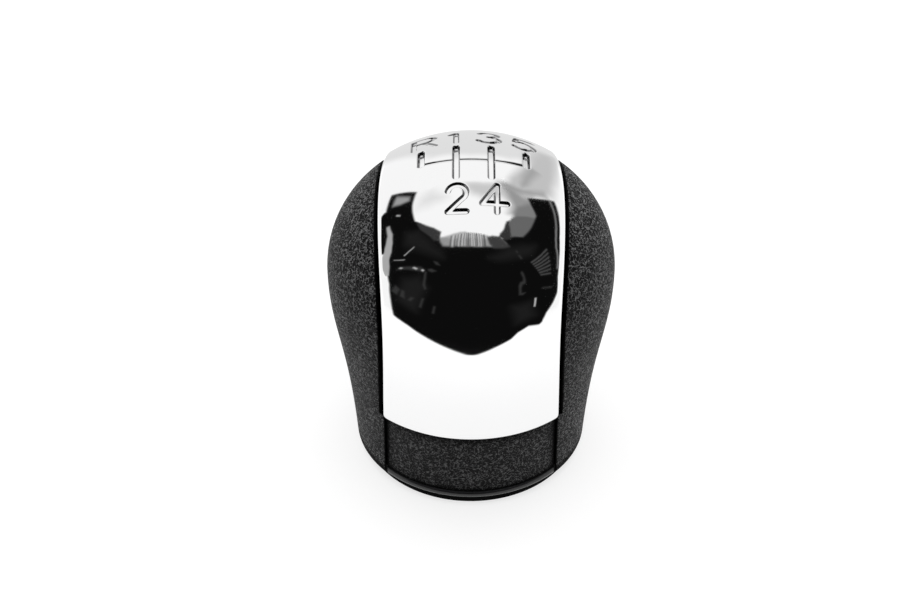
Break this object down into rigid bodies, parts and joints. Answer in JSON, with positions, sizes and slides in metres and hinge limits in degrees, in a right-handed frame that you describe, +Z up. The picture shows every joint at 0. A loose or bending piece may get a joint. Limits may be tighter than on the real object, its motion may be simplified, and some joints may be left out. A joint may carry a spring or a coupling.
{
  "type": "gear shift knob",
  "caption": "Rounded gear shift knob with grained side grips, a bright chrome strip over the crown for the shift pattern, and a blind bore below for the lever.",
  "frame": {"origin": "on the lever's axis, at the standing face of the base collar", "axes": "+Z up along the lever, -Y towards the driver, +X to the driver's right"},
  "size_m": [0.062, 0.0636, 0.0752],
  "materials": {
    "chrome_plate": "bright chrome plate on moulded plastic",
    "grained_black": "soft black moulding with a fine leather grain",
    "satin_black": "smooth satin moulding",
    "black_nylon": "plain moulding",
    "turned_steel": "turned",
    "zinc_steel": "bright zinc plate"
  },
  "bodies": {
    "root": {"chrome_cover": "chrome_plate", "left_grip": "grained_black", "right_grip": "grained_black", "front_panel": "grained_black", "rear_panel": "grained_black", "core": "black_nylon", "lever_socket": "turned_steel", "base_plate": "satin_black", "base_screws": "zinc_steel"}
  },
  "joints": []
}
